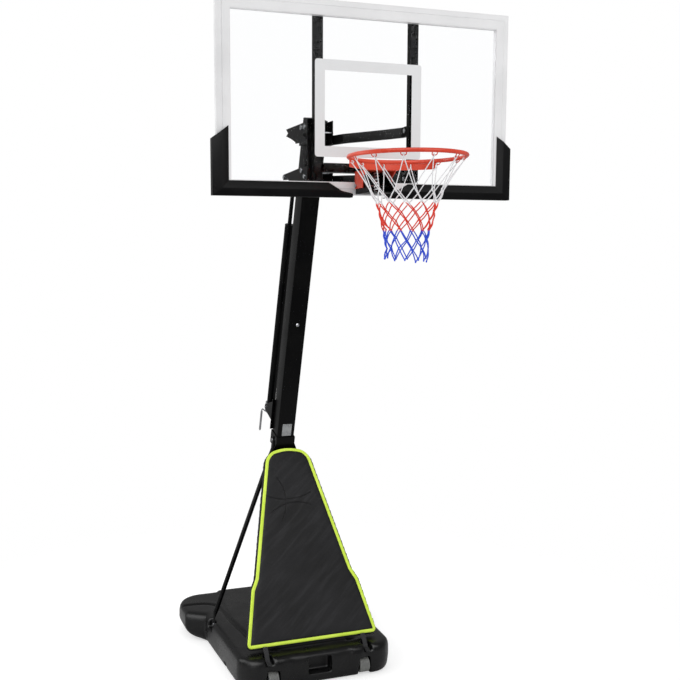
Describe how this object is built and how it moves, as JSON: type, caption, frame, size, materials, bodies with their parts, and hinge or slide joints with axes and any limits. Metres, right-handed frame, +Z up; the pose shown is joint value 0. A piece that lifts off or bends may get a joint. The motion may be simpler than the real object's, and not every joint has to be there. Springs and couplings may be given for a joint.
{
  "type": "portable basketball stand",
  "caption": "Portable basketball stand with a water-filled base, leaning pole, clear board, breakaway rim and net, and a crank jack that raises the board.",
  "frame": {"origin": "middle of the base's underside, on the floor", "axes": "+Z up; the board faces -Y; +X to the right of somebody who looks along +Y at the board's face"},
  "size_m": [1.412, 2.246, 3.313],
  "materials": {
    "tank": "moulded matte",
    "water": "water",
    "trim": "moulded matte",
    "wheel": "moulded matte",
    "frame": "powder coated, satin black",
    "zinc": "zinc plated",
    "board_frame": "moulded satin white",
    "panel": "clear polycarbonate",
    "print": "printed white",
    "rim": "powder coated, orange",
    "net": "woven cord, white with red and blue bands",
    "pad": "dark grey vinyl with a lime piping"
  },
  "bodies": {
    "stand": {"base_tank": "tank", "ballast_water": "water", "wheel_axle_left": "zinc", "wheel_axle_right": "zinc", "pole_lower": "frame", "pole_upper": "frame", "pole_cap": "trim", "pole_joint_bolt": "zinc", "brace_collar": "frame", "brace_collar_bolt": "zinc", "brace_left": "frame", "brace_right": "frame", "brace_foot_bolt_left": "zinc", "brace_foot_bolt_right": "zinc", "upper_pivot_bolt": "zinc", "lower_pivot_bolt": "zinc", "jack_bracket": "frame", "pole_pad": "pad"},
    "filler_cap": {"filler_cap": "trim"},
    "wheel_left": {"wheel_left": "wheel"},
    "wheel_right": {"wheel_right": "wheel"},
    "upper_arm": {"upper_channel": "frame", "upper_channel_bolt": "zinc", "upper_arm_left": "frame", "upper_arm_right": "frame"},
    "lower_arm": {"lower_channel": "frame", "lower_channel_bolt": "zinc", "lower_arm_left": "frame", "lower_arm_right": "frame", "jack_cross_pin": "zinc"},
    "board": {"board_frame": "board_frame", "clear_panel": "panel", "target_square": "print", "corner_pad_left": "trim", "corner_pad_right": "trim", "rear_bar_left": "frame", "rear_bar_right": "frame", "rear_crossbar": "frame", "hinge_bracket_left": "zinc", "hinge_bracket_right": "zinc", "hinge_pin_upper_left": "zinc", "hinge_pin_upper_right": "zinc", "hinge_pin_lower_left": "zinc", "hinge_pin_lower_right": "zinc", "rim_mount": "frame", "rim_spring": "zinc"},
    "rim": {"rim_bracket": "rim", "rim_ring": "rim", "rim_hinge_pin": "zinc", "net": "net"},
    "jack_tube": {"jack_bearing": "zinc", "jack_tube": "frame"},
    "jack_rod": {"jack_rod": "zinc"},
    "crank": {"crank_rod": "zinc", "jack_screw": "zinc"},
    "crank_grip": {"crank_grip": "wheel"}
  },
  "joints": [
    {"name": "height_adjust", "type": "hinge", "parent": "stand", "child": "upper_arm", "pos_m": [0, -0.398, 2.88], "axis": [-1, 0, 0], "range_deg": [-35.4, 41.4]},
    {"name": "lower_arm_follow", "type": "hinge", "parent": "stand", "child": "lower_arm", "pos_m": [0, -0.398, 2.668], "axis": [-1, 0, 0], "range_deg": [-35.5, 41.5]},
    {"name": "board_level", "type": "hinge", "parent": "upper_arm", "child": "board", "pos_m": [0, -1.01, 2.797], "axis": [-1, 0, 0], "range_deg": [-41.5, 35.5]},
    {"name": "rim_breakaway", "type": "hinge", "parent": "board", "child": "rim", "pos_m": [0, -1.12, 2.54], "axis": [1, 0, 0], "range_deg": [0, 27], "stiffness_Nm_per_rad": 200, "springref_deg": -11.46, "deforming": ["rim_spring"]},
    {"name": "jack_tilt", "type": "hinge", "parent": "stand", "child": "jack_tube", "pos_m": [0, 0.305, 1.345], "axis": [1, 0, 0], "range_deg": [-2.6, 3]},
    {"name": "jack_slide", "type": "slide", "parent": "jack_tube", "child": "jack_rod", "axis": [0, -0.3119, 0.9501], "range_m": [-0.186, 0.159]},
    {"name": "crank_turn", "type": "hinge", "parent": "jack_tube", "child": "crank", "pos_m": [0, 0.305, 1.345], "axis": [0, -0.3119, 0.9501], "range_deg": [-4740, 5540]},
    {"name": "crank_grip_spin", "type": "hinge", "parent": "crank", "child": "crank_grip", "pos_m": [0, 0.51179, 1.20238], "axis": [0, -0.3119, 0.9501], "continuous": true},
    {"name": "wheel_left_roll", "type": "hinge", "parent": "stand", "child": "wheel_left", "pos_m": [-0.257, -0.49, 0.05], "axis": [1, 0, 0], "continuous": true},
    {"name": "wheel_right_roll", "type": "hinge", "parent": "stand", "child": "wheel_right", "pos_m": [0.257, -0.49, 0.05], "axis": [1, 0, 0], "continuous": true},
    {"name": "filler_cap_turn", "type": "hinge", "parent": "stand", "child": "filler_cap", "pos_m": [0, 0.1, 0.17], "axis": [0, 0, 1], "continuous": true}
  ],
  "couplings": [
    {"joint": "lower_arm_follow", "follows": "height_adjust", "ratio": 1},
    {"joint": "board_level", "follows": "height_adjust", "ratio": -1},
    {"joint": "jack_tilt", "follows": "height_adjust", "ratio": 0.0707},
    {"joint": "jack_slide", "follows": "height_adjust", "m_per_rad": -0.2553},
    {"joint": "crank_turn", "follows": "height_adjust", "ratio": 133.7}
  ]
}
